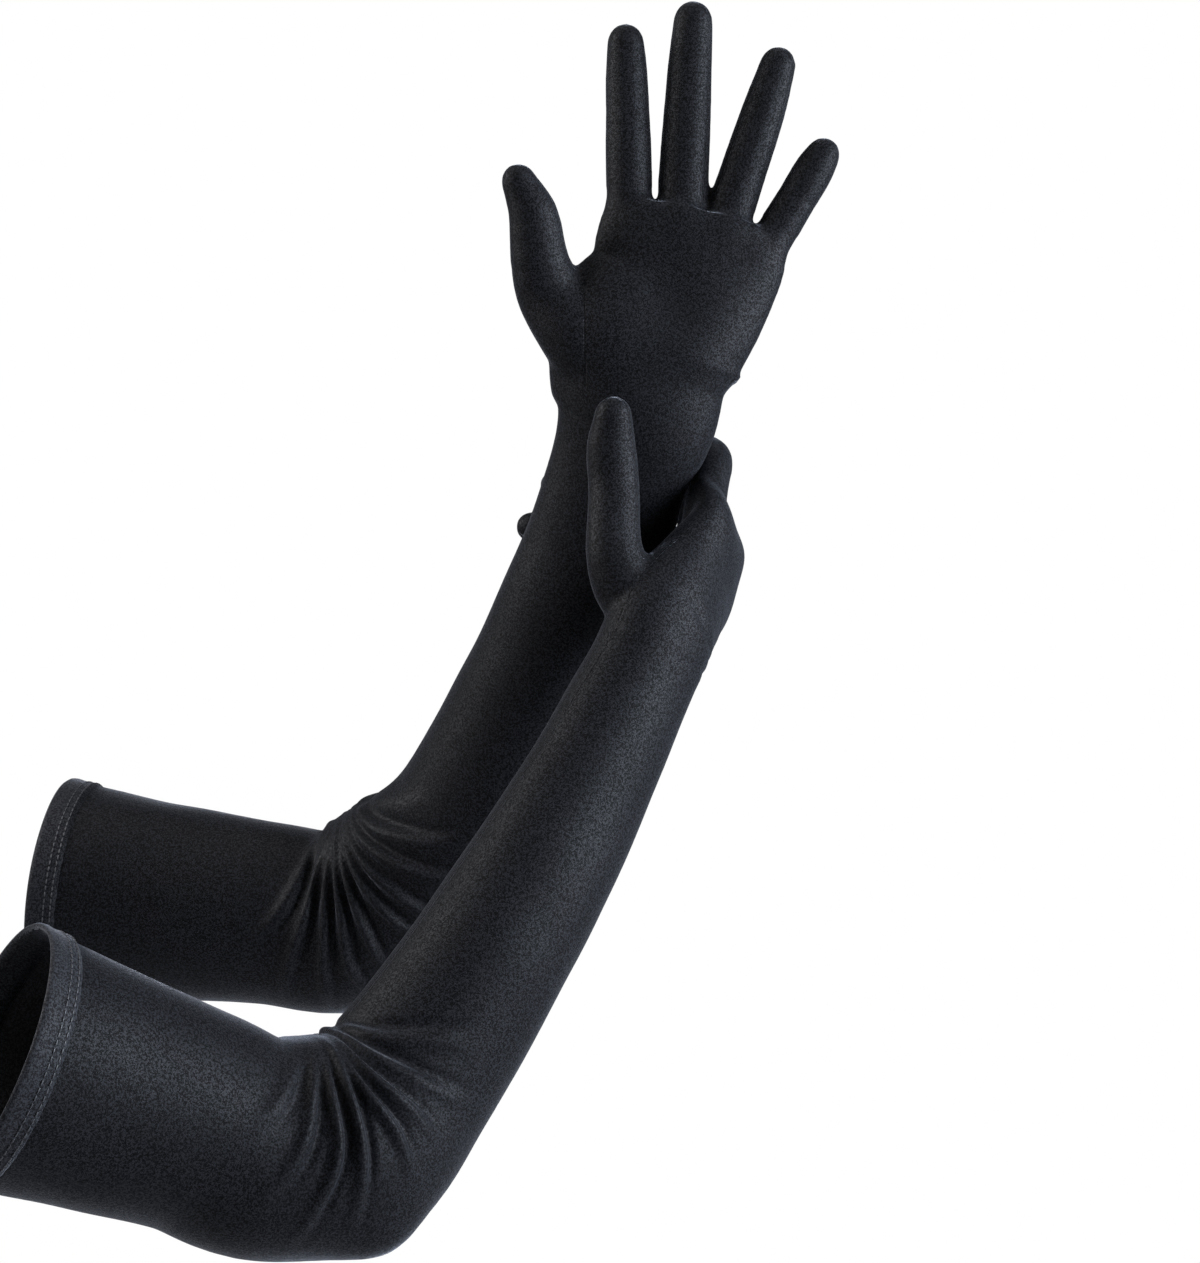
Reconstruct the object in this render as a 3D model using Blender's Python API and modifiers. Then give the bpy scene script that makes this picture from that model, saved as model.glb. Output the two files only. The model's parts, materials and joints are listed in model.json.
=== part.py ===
"""A pair of long stretch-satin opera gloves in the pose they are worn in: the left hand held up
open, the right hand closed round the left wrist, both elbows bent. Metres, +Z up, the open palm
facing -Y. The origin is the centre of the left glove's arm opening."""
import math

import bmesh
import bpy
from mathutils import Vector

# --- driving dimensions (metres) ---
WALL = 0.0010            # the knit, stood off as a shell
HEM_WALL = 0.0016        # folded edge
HEM = 0.012              # depth of the hem band
THREAD_R = 0.00035
GAP = 0.0005             # daylight between neighbouring pieces
SEAM_GAP = 0.0009        # daylight between the two halves of a sleeve

FOREARM_LEN = 0.252      # elbow corner to wrist
UPPER_LEN_L = 0.174      # elbow corner to the left hem
UPPER_LEN_R = 0.148      # the right glove is pushed a little further down the arm
CUFF_R = 0.050           # half the width at the arm opening
UPPER_R = 0.0435         # half the width above the elbow
ELBOW_R = 0.0435
FOREARM_R = 0.0375       # half the width at the thick of the forearm
WRIST_A = 0.0310         # half the width of the wrist
WRIST_B = 0.0195         # half the thickness of the wrist
PALM_A = 0.0400          # half the width across the knuckles
PALM_B = 0.0140
PALM_LEN = 0.083         # wrist to the middle knuckle
FINGER_R = 0.0093
GRIP_CLEAR = 0.0022      # daylight between the gripping hand and the wrist it holds

FINGERS = ("index", "middle", "ring", "little")
LENGTHS = {"index": 0.0671, "middle": 0.0786, "ring": 0.0682, "little": 0.0432}
GIRTH = {"index": 1.0, "middle": 1.06, "ring": 1.0, "little": 0.86}
N_ROUND, N_HALF = 12, 10 # facets round a finger, and round half a sleeve

# --- where the limbs point ---
LEFT_ARM = Vector((0.371, -0.386, 0.844)).normalized()
LEFT_UPPER = Vector((-0.9935, 0.0863, 0.0754)).normalized()
RIGHT_ARM = Vector((0.4830, 0.2867, 0.8274)).normalized()
RIGHT_UPPER = Vector((-0.823, -0.4160, 0.3860)).normalized()

LEFT_WRIST = Vector((0.0150, 0.0, 0.088))
LEFT_ELBOW = LEFT_WRIST - LEFT_ARM * FOREARM_LEN
ORIGIN = LEFT_ELBOW + LEFT_UPPER * UPPER_LEN_L


def plane_normal(upper, fore, toward):
    """The unit normal of the plane an arm bends in, on the side of `toward`."""
    n = upper.cross(fore).normalized()
    return n if n.dot(toward) > 0 else -n


def mix(a, b, f):
    return a + (b - a) * f


def spread(f):
    """Even steps drawn toward both ends, so the sheet turns gently into its seams."""
    return mix(f, (1 - math.cos(math.pi * f)) / 2, 0.75)


# --- a loft: stations of (centre, depth direction, half width, half depth) read smoothly ---
class Loft:
    def __init__(self, stations):
        self.s = stations

    def _value(self, i, t, k):
        n = len(self.s) - 1
        p = [self.s[min(max(i + d, 0), n)][k] for d in (-1, 0, 1, 2)]
        if i == 0:
            p[0] = p[1] * 2 - p[2]
        if i == n - 1:
            p[3] = p[2] * 2 - p[1]
        return (p[1] * 2 + (p[2] - p[0]) * t + (p[0] * 2 - p[1] * 5 + p[2] * 4 - p[3]) * t ** 2
                + (p[1] * 3 - p[0] - p[2] * 3 + p[3]) * t ** 3) * 0.5

    def read(self, t):
        i = min(max(int(t), 0), len(self.s) - 2)
        return [self._value(i, t - i, k) for k in range(4)]

    def frame(self, t):
        """Centre, tangent, side, depth, half width, half depth at t."""
        e = 1e-3
        hi, lo = min(t + e, len(self.s) - 1), max(t - e, 0)
        along = (self.read(hi)[0] - self.read(lo)[0]).normalized()
        c, n, a, b = self.read(t)
        side = along.cross(n).normalized()
        return c, along, side, side.cross(along).normalized(), a, b

    def point(self, t, ang):
        c, _, side, depth, a, b = self.frame(t)
        return c + side * (a * math.cos(ang)) + depth * (b * math.sin(ang))

    def step(self, t):
        """How far t moves along the centre line for one metre."""
        e = 1e-3
        hi, lo = min(t + e, len(self.s) - 1), max(t - e, 0)
        return (hi - lo) / (self.read(hi)[0] - self.read(lo)[0]).length


# --- making objects ---
def material(name, colour, rough):
    m = bpy.data.materials.new(name)
    m.use_nodes = True
    p = m.node_tree.nodes["Principled BSDF"]
    p.inputs["Base Color"].default_value = (*colour, 1)
    p.inputs["Roughness"].default_value = rough
    return m


def add_solidify(obj, wall):
    mod = obj.modifiers.new("thickness", "SOLIDIFY")
    mod.thickness = wall
    mod.offset = -1.0
    mod.use_even_offset = True
    mod.use_quality_normals = True


def shell(name, rings, closed, mat, wall, tip=None):
    """An open sheet skinned over rows of points, thickened inward; tip closes the last row."""
    bm = bmesh.new()
    rows = [[bm.verts.new(p - ORIGIN) for p in ring] for ring in rings]
    n = len(rows[0])
    for lo, hi in zip(rows, rows[1:]):
        for j in range(n if closed else n - 1):
            k = (j + 1) % n
            bm.faces.new((lo[j], hi[j], hi[k], lo[k]))
    if tip is not None:
        apex = bm.verts.new(tip - ORIGIN)
        for j in range(n):
            bm.faces.new((rows[-1][(j + 1) % n], rows[-1][j], apex))
    mesh = bpy.data.meshes.new(name)
    bm.to_mesh(mesh)
    bm.free()
    obj = bpy.data.objects.new(name, mesh)
    PARTS.objects.link(obj)
    mesh.materials.append(mat)
    for poly in mesh.polygons:
        poly.use_smooth = True
    add_solidify(obj, wall)
    return obj


def half_sleeve(name, loft, t0, t1, rows, upper, mat, wall=WALL):
    """Half a sleeve between stations t0 and t1: the back half when upper, else the palm half."""
    lo_gap = SEAM_GAP / 2 / WRIST_B
    a0, a1 = (lo_gap, math.pi - lo_gap) if upper else (math.pi + lo_gap, 2 * math.pi - lo_gap)
    rings = []
    for r in range(rows + 1):
        t = mix(t0, t1, r / rows)
        rings.append([loft.point(t, mix(a0, a1, spread(j / N_HALF))) for j in range(N_HALF + 1)])
    return shell(name, rings, False, mat, wall)


def ring_band(name, loft, t0, t1, rows, mat, wall):
    rings = [[loft.point(mix(t0, t1, r / rows), 2 * math.pi * j / (2 * N_HALF))
              for j in range(2 * N_HALF)] for r in range(rows + 1)]
    return shell(name, rings, True, mat, wall)


def thread_ring(name, loft, t, mat):
    """A sewing thread lying just outside the sleeve."""
    count = 2 * N_HALF
    c, _, side, depth, a, b = loft.frame(t)
    out = 2 * THREAD_R + SEAM_GAP
    curve = bpy.data.curves.new(name, "CURVE")
    curve.dimensions = "3D"
    curve.bevel_depth = THREAD_R
    curve.bevel_resolution = 0
    curve.resolution_u = 1
    spline = curve.splines.new("POLY")
    spline.points.add(count - 1)
    spline.use_cyclic_u = True
    for j in range(count):
        ang = 2 * math.pi * j / count
        p = c + side * ((a + out) * math.cos(ang)) + depth * ((b + out) * math.sin(ang)) - ORIGIN
        spline.points[j].co = (*p, 1)
    obj = bpy.data.objects.new(name, curve)
    PARTS.objects.link(obj)
    curve.materials.append(mat)
    return obj


# --- the arms ---
def glove_stations(elbow, wrist, upper, fore, upper_len, toward, hand_depth, profile):
    """From the arm opening, round the bent elbow, to the wrist."""
    n = plane_normal(upper, fore, toward)
    turn = 0.045
    cuff_r, upper_r, elbow_r, fore_r, wrist_a = profile
    corner = elbow + (upper + fore) * (turn * 0.42)
    return [
        (elbow + upper * upper_len, n, cuff_r, cuff_r * 0.97),
        (elbow + upper * mix(turn, upper_len, 0.60), n, mix(upper_r, cuff_r, 0.45), upper_r),
        (elbow + upper * mix(turn, upper_len, 0.22), n, upper_r, upper_r * 0.96),
        (elbow + upper * turn * 0.9, n, elbow_r, elbow_r * 0.94),
        (corner, n, elbow_r * 1.02, elbow_r * 0.92),
        (elbow + fore * turn * 1.05, n, mix(elbow_r, fore_r, 0.35), fore_r * 1.02),
        (mix(elbow, wrist, 0.42), n, fore_r, fore_r * 0.92),
        (mix(elbow, wrist, 0.66), mix(n, hand_depth, 0.4), mix(wrist_a, fore_r, 0.42), fore_r * 0.75),
        (mix(elbow, wrist, 0.88), mix(n, hand_depth, 0.85), wrist_a * 0.96, WRIST_B * 1.08),
        (wrist, hand_depth, wrist_a, WRIST_B),
    ]


ELBOW_T, WRIST_T = 4.0, 9.0


def build_arm(side, loft, mat, hem_mat, thread_mat):
    """Hem, two rows of thread, and the sleeve halves above and below the elbow."""
    def t_at(dist):
        return dist * loft.step(0.2)

    hem_t, gap_t = t_at(HEM), t_at(GAP)
    wrist_gap = GAP * (1.5 if side == "left" else 3.2) * loft.step(WRIST_T)
    ring_band(f"{side}_hem_band", loft, 0.0, hem_t, 2, hem_mat, HEM_WALL)
    for k, away in (("outer", 0.40), ("inner", 0.70)):
        thread_ring(f"{side}_hem_stitch_{k}", loft, hem_t * away, thread_mat)
    elbow_gap = GAP * 4.4 * loft.step(ELBOW_T)
    for half, up in (("back", True), ("palm", False)):
        half_sleeve(f"{side}_upper_sleeve_{half}", loft, hem_t + gap_t, ELBOW_T - elbow_gap, 7,
                    up, mat)
        half_sleeve(f"{side}_forearm_{half}", loft, ELBOW_T + elbow_gap, WRIST_T - wrist_gap, 11,
                    up, mat)
        half_sleeve(f"{side}_hand_{half}", loft, WRIST_T + wrist_gap, len(loft.s) - 1.02, 8, up,
                    mat)


# --- fingers ---
def finger_loft(base, mid, far, tip, depth, r):
    """Base, middle joint, last joint and tip; the tip station is where the rounding begins."""
    return Loft([
        (base, depth, r * 1.06, r * 1.02),
        (mid, depth, r * 0.97, r * 0.95),
        (far, depth, r * 0.88, r * 0.86),
        (tip, depth, r * 0.74, r * 0.72),
    ])


def round_ring(loft, t, shrink=1.0, push=0.0):
    c, along, side, depth, a, b = loft.frame(t)
    c = c + along * push
    return [c + side * (a * shrink * math.cos(w)) + depth * (b * shrink * math.sin(w))
            for w in (2 * math.pi * j / N_ROUND for j in range(N_ROUND))]


def build_finger(name, loft, mat, joint_t=1.0, start_gap=GAP):
    """Two pieces: the one next to the hand, and the closed tip."""
    g = GAP * 0.6
    t0 = start_gap * loft.step(0.1)
    rings = [round_ring(loft, mix(t0, joint_t - g * loft.step(joint_t - 0.1), r / 3))
             for r in range(4)]
    shell(f"{name}_base", rings, True, mat, WALL)
    start = joint_t + g * loft.step(joint_t + 0.1)
    rings = [round_ring(loft, mix(start, 3.0, r / 3)) for r in range(4)]
    r_end = loft.frame(3.0)[4]
    for ang in (28, 54, 74):
        w = math.radians(ang)
        rings.append(round_ring(loft, 3.0, math.cos(w), r_end * 1.05 * math.sin(w)))
    c, along = loft.frame(3.0)[:2]
    shell(f"{name}_tip", rings, True, mat, WALL, tip=c + along * r_end * 1.05)


def fourchette(name, low, up, depth, width, half_depth, mat):
    """The narrow gusset between two fingers: a flat strip across the bottom of the gap."""
    across = up.cross(depth).normalized()
    rings = []
    for j in range(3):
        c = low + across * (width / 2 * mix(-1.0, 1.0, j / 2))
        rings.append([c + depth * (half_depth * s) for s in (-1, -0.33, 0.33, 1)])
    shell(name, rings, False, mat, WALL * 0.8)


# --- the open left hand ---
def left_hand_stations():
    back = Vector((0, 1, 0))
    w = LEFT_WRIST
    k = PALM_LEN / 0.083
    knuckles = w + Vector((0.0262, -0.002, 0.0850 * k))
    return [
        (w + Vector((0.0013, -0.002, 0.017 * k)), back, WRIST_A * 1.185, WRIST_B * 1.05),
        (w + Vector((0.0055, -0.004, 0.034 * k)), back, PALM_A * 1.05, WRIST_B * 1.02),
        (w + Vector((0.0148, -0.004, 0.051 * k)), back, PALM_A * 1.03, WRIST_B * 0.86),
        (w + Vector((0.0218, -0.003, 0.067 * k)), back, PALM_A, PALM_B * 1.06),
        (knuckles, back, PALM_A * 0.99, PALM_B * 0.86),
    ]


# where each finger leaves the palm's end: share of its half width toward the thumb, and lift
LEFT_ROOTS = {"index": (0.7858, 0.0045), "middle": (0.2200, 0.0072), "ring": (-0.3150, 0.0072),
              "little": (-0.8080, 0.0034)}
LEFT_DIRS = {"index": (-0.02, 1.0), "middle": (0.055, 1.0), "ring": (0.30, 1.0),
             "little": (0.56, 1.0)}


def palm_end_point(across, lift):
    """A point off the end of the left palm."""
    c, along, side, _, a, _ = LEFT_LOFT.frame(len(LEFT_LOFT.s) - 1.02)
    return c + side * (a * across) + along * lift


def left_fingers(mat):
    back = Vector((0, 1, 0))
    for f in FINGERS:
        dx, dz = LEFT_DIRS[f]
        d = Vector((dx, -0.03, dz)).normalized()
        base = palm_end_point(*LEFT_ROOTS[f])
        length, r = LENGTHS[f], FINGER_R * GIRTH[f]
        loft = finger_loft(base, base + d * length * 0.37, base + d * length * 0.66,
                           base + d * (length - r * 0.8), back, r)
        build_finger(f"left_{f}", loft, mat)


def left_gussets(mat):
    back = Vector((0, 1, 0))
    for name, across, lift, lean, width in (("index_middle", 0.5060, 0.0062, 0.02, 0.0015),
                                            ("middle_ring", -0.0560, 0.0090, 0.20, 0.0006),
                                            ("ring_little", -0.5900, 0.0075, 0.45, 0.0005)):
        up = Vector((lean, 0, 1)).normalized()
        fourchette(f"left_gusset_{name}", palm_end_point(across, lift), up, back, width, 0.0045,
                   mat)


def left_thumb(mat):
    w = LEFT_WRIST
    pts = [Vector((-0.0401, -0.0085, 0.0518)), Vector((-0.0460, -0.0140, 0.0655)),
           Vector((-0.0483, -0.0180, 0.0825)), Vector((-0.0545, -0.0205, 0.0975))]
    depth = Vector((-0.30, 0.92, 0.1)).normalized()
    shapes = ((0.0140, 0.0125), (0.0112, 0.0108), (0.0100, 0.0092), (0.0080, 0.0070))
    loft = Loft([(w + p, depth, a, b) for p, (a, b) in zip(pts, shapes)])
    build_finger("left_thumb", loft, mat, joint_t=1.35)


# --- the closed right hand ---
RIGHT_ELBOW = Vector((-0.0944, -0.103, -0.2058)) + (RIGHT_ARM * (0.252 - FOREARM_LEN))
RIGHT_WRIST = RIGHT_ELBOW + RIGHT_ARM * FOREARM_LEN
HOLD = WRIST_A + GRIP_CLEAR + PALM_B * 0.85      # palm's middle off the held wrist's middle
RIGHT_BACK = Vector((0.93, -0.25, -0.22)).normalized()


def wrist_axis(z):
    """The middle of the held wrist and forearm at height z."""
    return LEFT_WRIST + LEFT_ARM * ((z - LEFT_WRIST.z) / LEFT_ARM.z)


def right_knuckles():
    """Knuckle of each finger, set off the held wrist by its half width."""
    out = {}
    for f, z, wider in zip(FINGERS, (0.0745, 0.0560, 0.0380, 0.0215), (0.0, 0.001, 0.002, 0.003)):
        c = wrist_axis(z)
        out[f] = c + Vector((HOLD + 0.002 + wider, 0.0145, 0.0))
    return out


def right_hand_stations():
    k = right_knuckles()
    centre = (k["middle"] + k["ring"]) / 2
    toward = (centre - RIGHT_WRIST).normalized()
    end = centre - toward * (FINGER_R * 0.95)
    back = RIGHT_BACK
    depth0 = right_wrist_depth()
    return [
        (mix(RIGHT_WRIST, end, 0.34) + back * 0.0035, mix(depth0, back, 0.6), WRIST_A * 0.93, WRIST_B * 0.86),
        (mix(RIGHT_WRIST, end, 0.65) + back * 0.0085, back, PALM_A * 0.90, PALM_B),
        (end + back * 0.0015, back, PALM_A * 0.94, PALM_B * 0.84),
    ]


def right_wrist_depth():
    return (RIGHT_BACK + Vector((0.464, -0.885, 0.036))).normalized()


def right_fingers(mat):
    for f, knuckle in right_knuckles().items():
        c = wrist_axis(knuckle.z)
        r = FINGER_R * GIRTH[f] * 0.94
        a = WRIST_A + GRIP_CLEAR + r
        b = WRIST_B * 1.12 + (0.074 - knuckle.z) * 0.03 + GRIP_CLEAR + r
        corner = c + Vector((a * 0.42, b * 0.95 + 0.0025, 0.0045))
        reach = LENGTHS[f] / LENGTHS["middle"]
        run = Vector((-1.0, 0.02, 0.10)).normalized()
        pts = [knuckle + Vector((-0.0005, r * 0.55, 0.0005)), corner,
               corner + run * 0.024 * reach + Vector((0, 0.0015, 0)), corner + run * 0.040 * reach]
        depth = Vector((0.3, 0.9, 0.0)).normalized()
        build_finger(f"right_{f}", finger_loft(*pts, depth, r), mat, start_gap=GAP * 6)


def right_gussets(mat):
    k = right_knuckles()
    for a, b in zip(FINGERS, FINGERS[1:]):
        mid = (k[a] + k[b]) / 2
        out = Vector((-0.30, 0.95, 0.05)).normalized()
        depth = (k[a] - k[b]).normalized().cross(out).normalized()
        fourchette(f"right_gusset_{a}_{b}", mid - out * 0.0008, out, depth, 0.0004, 0.0024,
                   mat)


def right_thumb(mat):
    pts = [Vector((0.0060, -0.0360, 0.0320)), Vector((0.0058, -0.0300, 0.0570)),
           Vector((0.0046, -0.0305, 0.0740)), Vector((0.0054, -0.0335, 0.0870))]
    depth = Vector((0.15, -0.98, 0.0)).normalized()
    shapes = ((0.0118, 0.0102), (0.0106, 0.0092), (0.0102, 0.0088), (0.0080, 0.0072))
    loft = Loft([(p, depth, a, b) for p, (a, b) in zip(pts, shapes)])
    build_finger("right_thumb", loft, mat)


# --- build ---
for obj in list(bpy.data.objects):
    bpy.data.objects.remove(obj)
for coll in list(bpy.data.collections):
    bpy.data.collections.remove(coll)
PARTS = bpy.data.collections.new("opera_gloves")
bpy.context.scene.collection.children.link(PARTS)

SATIN = material("satin", (0.020, 0.022, 0.027), 0.38)
GUSSET = material("gusset_satin", (0.016, 0.017, 0.021), 0.45)
HEM_CLOTH = material("hem_satin", (0.024, 0.026, 0.031), 0.42)
THREAD = material("sewing_thread", (0.035, 0.036, 0.042), 0.6)

LEFT_LOFT = Loft(
    glove_stations(LEFT_ELBOW, LEFT_WRIST, LEFT_UPPER, LEFT_ARM, UPPER_LEN_L, Vector((0, 1, 0)),
                   Vector((0, 1, 0)), (CUFF_R, UPPER_R, ELBOW_R, FOREARM_R, WRIST_A))
    + left_hand_stations())
RIGHT_LOFT = Loft(
    glove_stations(RIGHT_ELBOW, RIGHT_WRIST, RIGHT_UPPER, RIGHT_ARM, UPPER_LEN_R,
                   Vector((0, -1, 0)), right_wrist_depth(),
                   (CUFF_R * 0.95, UPPER_R * 0.95, ELBOW_R * 0.95, FOREARM_R * 0.84,
                    WRIST_A * 0.84))
    + right_hand_stations())
build_arm("left", LEFT_LOFT, SATIN, HEM_CLOTH, THREAD)
build_arm("right", RIGHT_LOFT, SATIN, HEM_CLOTH, THREAD)
left_fingers(SATIN)
right_fingers(SATIN)
left_gussets(GUSSET)
right_gussets(GUSSET)
left_thumb(SATIN)
right_thumb(SATIN)
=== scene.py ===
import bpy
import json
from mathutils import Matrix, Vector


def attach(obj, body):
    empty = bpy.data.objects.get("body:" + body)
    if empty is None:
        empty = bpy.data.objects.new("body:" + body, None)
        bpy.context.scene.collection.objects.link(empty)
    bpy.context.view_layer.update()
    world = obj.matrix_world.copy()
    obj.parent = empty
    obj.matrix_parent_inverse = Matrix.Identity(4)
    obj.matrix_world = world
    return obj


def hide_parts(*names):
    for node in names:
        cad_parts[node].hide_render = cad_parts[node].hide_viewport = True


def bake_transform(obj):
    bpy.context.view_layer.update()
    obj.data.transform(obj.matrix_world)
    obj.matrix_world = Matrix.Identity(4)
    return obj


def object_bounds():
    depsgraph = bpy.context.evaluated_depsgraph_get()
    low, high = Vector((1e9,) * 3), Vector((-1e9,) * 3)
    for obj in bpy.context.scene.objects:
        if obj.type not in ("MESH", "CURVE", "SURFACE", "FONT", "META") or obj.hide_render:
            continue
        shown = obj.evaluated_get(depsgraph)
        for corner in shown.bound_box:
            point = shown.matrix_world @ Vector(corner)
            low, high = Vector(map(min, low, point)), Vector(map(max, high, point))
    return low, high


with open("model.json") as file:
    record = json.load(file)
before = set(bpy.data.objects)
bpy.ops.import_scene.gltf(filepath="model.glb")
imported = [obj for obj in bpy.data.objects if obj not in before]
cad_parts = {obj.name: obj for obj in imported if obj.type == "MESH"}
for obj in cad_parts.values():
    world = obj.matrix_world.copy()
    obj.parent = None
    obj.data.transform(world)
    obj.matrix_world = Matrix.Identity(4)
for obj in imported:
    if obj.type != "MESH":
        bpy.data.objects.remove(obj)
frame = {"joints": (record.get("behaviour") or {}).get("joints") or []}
cad_low, cad_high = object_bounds()

# %% Tools used below
import json
import math

import bmesh
import bpy
import numpy as np
from mathutils import Matrix, Vector
from mathutils import noise as smooth_noise

JOINTS = {j["name"]: j for j in frame["joints"]}

# %% [markdown]
# ## The line of each arm and finger
# A long glove takes its shape from the arm in it, so the skin starts as tubes. Each tube follows
# a row of stations: a centre, the direction of the back of the hand, and two half widths. A curve
# through all the stations gives a soft tube. Drawing rings by hand would work too, but a few
# stations are far easier to correct.
# %% Stations and the curve through them
HOME = Vector((0.25139, -0.11234, 0.11168))     # from the hand-centred numbers to the frame's
BACK = Vector((0, 1, 0))
ELBOW_AT, SLEEVE_END_AT, WRIST_AT = 4.0, 6.35, 9.0   # station numbers along an arm
ARM_RINGS, FINGER_RINGS, HELD_RINGS = 260, 60, 80


def unit(x, y, z):
    return Vector((x, y, z)).normalized()


def place(x, y, z):
    return Vector((x, y, z)) + HOME


class Line:
    """Rings read along a smooth curve through stations (centre, depth, half width, half depth)."""

    def __init__(self, stations, count):
        rows = np.array([[*c, *d, a, b] for c, d, a, b in stations], float)
        rows = np.vstack([2 * rows[0] - rows[1], rows, 2 * rows[-1] - rows[-2]])
        n = len(stations) - 1
        t = np.linspace(0, n, count)
        i = np.clip(t.astype(int), 0, n - 1)
        f = (t - i)[:, None]
        p0, p1, p2, p3 = (rows[i + k] for k in range(4))
        out = 0.5 * (2 * p1 + (p2 - p0) * f + (2 * p0 - 5 * p1 + 4 * p2 - p3) * f ** 2
                     + (3 * p1 - p0 - 3 * p2 + p3) * f ** 3)
        self.t = t
        self.c, self.a, self.b = out[:, :3], out[:, 6], out[:, 7]
        along = np.gradient(self.c, axis=0)
        self.along = along / np.linalg.norm(along, axis=1, keepdims=True)
        side = np.cross(self.along, out[:, 3:6])
        self.side = side / np.linalg.norm(side, axis=1, keepdims=True)
        self.depth = np.cross(self.side, self.along)
        step = np.linalg.norm(np.diff(self.c, axis=0), axis=1)
        self.arc = np.concatenate([[0], np.cumsum(step)])

    def at_arc(self, s):
        return int(np.argmin(abs(self.arc - s)))

    def at_t(self, t):
        return int(np.argmin(abs(self.t - t)))

    def ring_matrix(self, k, shrink=1.0, push=0.0):
        a, b = self.a[k] * shrink, self.b[k] * shrink
        c = self.c[k] + self.along[k] * push
        cols = np.column_stack([self.side[k] * a, self.depth[k] * b, self.along[k] * 0.01, c])
        return Matrix([list(r) for r in cols] + [[0, 0, 0, 1]])

    def locate(self, points):
        """For each point: nearest ring, and its place across that ring in half widths."""
        k = np.zeros(len(points), int)
        for lo in range(0, len(points), 20000):
            part = points[lo:lo + 20000]
            d = ((part[:, None, :] - self.c[None]) ** 2).sum(2)
            k[lo:lo + 20000] = d.argmin(1)
        rel = points - self.c[k]
        u = (rel * self.side[k]).sum(1) / self.a[k]
        v = (rel * self.depth[k]).sum(1) / self.b[k]
        return k, u, v


# %% The two arms
FOREARM, UPPER_LEFT, UPPER_RIGHT = 0.252, 0.174, 0.148
CUFF, UPPER, ELBOW, FORE = 0.0500, 0.0435, 0.0435, 0.0375
WRIST_A, WRIST_B, PALM_A, PALM_B = 0.0310, 0.0195, 0.0400, 0.0140
LEFT_ARM, LEFT_UPPER = unit(0.371, -0.386, 0.844), unit(-0.9935, 0.0863, 0.0754)
RIGHT_ARM, RIGHT_UPPER = unit(0.4830, 0.2867, 0.8274), unit(-0.823, -0.4160, 0.3860)
LEFT_WRIST = place(0.0150, 0, 0.088)
LEFT_ELBOW = LEFT_WRIST - LEFT_ARM * FOREARM
RIGHT_ELBOW = place(-0.0944, -0.103, -0.2058)
RIGHT_WRIST = RIGHT_ELBOW + RIGHT_ARM * FOREARM
RIGHT_BACK = unit(0.93, -0.25, -0.22)
RIGHT_WRIST_BACK = (RIGHT_BACK + Vector((0.464, -0.885, 0.036))).normalized()


def mix(a, b, f):
    return a + (b - a) * f


def arm_stations(elbow, wrist, upper, fore, upper_len, toward, wrist_back, girth):
    n = upper.cross(fore).normalized()
    n = n if n.dot(toward) > 0 else -n
    cuff_r, upper_r, elbow_r, fore_r, wrist_a = girth
    turn = 0.045
    return [
        (elbow + upper * upper_len, n, cuff_r, cuff_r * 0.97),
        (elbow + upper * mix(turn, upper_len, 0.60), n, mix(upper_r, cuff_r, 0.45), upper_r),
        (elbow + upper * mix(turn, upper_len, 0.22), n, upper_r, upper_r * 0.96),
        (elbow + upper * turn * 0.9, n, elbow_r, elbow_r * 0.94),
        (elbow + (upper + fore) * turn * 0.42, n, elbow_r * 1.02, elbow_r * 0.92),
        (elbow + fore * turn * 1.05, n, mix(elbow_r, fore_r, 0.35), fore_r * 1.02),
        (mix(elbow, wrist, 0.42), n, fore_r, fore_r * 0.92),
        (mix(elbow, wrist, 0.66), mix(n, wrist_back, 0.4), mix(wrist_a, fore_r, 0.42),
         fore_r * 0.75),
        (mix(elbow, wrist, 0.88), mix(n, wrist_back, 0.85), wrist_a * 0.96, WRIST_B * 1.08),
        (wrist, wrist_back, wrist_a, WRIST_B),
    ]


def nudged(stations, moves):
    """Stations with some moved by (x, z) and made wider or narrower by a share."""
    out = list(stations)
    for k, (x, z, share) in moves.items():
        c, d, a, b = out[k]
        out[k] = (c + Vector((x, 0, z)), d, a * share, b * share)
    return out


w = LEFT_WRIST
left_palm = [
    (w + Vector((0.0013, -0.002, 0.017)), BACK, WRIST_A * 1.22, WRIST_B * 1.05),
    (w + Vector((0.0050, -0.004, 0.034)), BACK, PALM_A * 1.05, WRIST_B * 1.02),
    (w + Vector((0.0166, -0.004, 0.051)), BACK, PALM_A * 0.955, WRIST_B * 0.86),
    (w + Vector((0.0218, -0.003, 0.067)), BACK, PALM_A, PALM_B * 1.06),
    (w + Vector((0.0262, -0.002, 0.085)), BACK, PALM_A * 0.99, PALM_B * 0.86),
]
left_arm = nudged(arm_stations(LEFT_ELBOW, LEFT_WRIST, LEFT_UPPER, LEFT_ARM, UPPER_LEFT,
                               Vector((0, 1, 0)), BACK, (CUFF, UPPER, ELBOW, FORE, WRIST_A)),
                  {0: (0.003, -0.0055, 0.99), 1: (0.001, -0.0075, 0.97), 2: (0, -0.0090, 0.965),
                   3: (0.002, -0.0100, 0.96), 4: (0.002, -0.009, 0.98), 5: (0.003, -0.004, 0.985),
                   6: (0.0078, 0, 0.94), 7: (0.0075, 0, 0.95), 8: (0.0030, 0, 1.0),
                   9: (0, 0, 1.075)})
left_line = Line(left_arm + left_palm, ARM_RINGS)


def held_wrist(z):
    """The middle of the held wrist at a height."""
    return LEFT_WRIST + LEFT_ARM * ((z + HOME.z - LEFT_WRIST.z) / LEFT_ARM.z)


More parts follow.
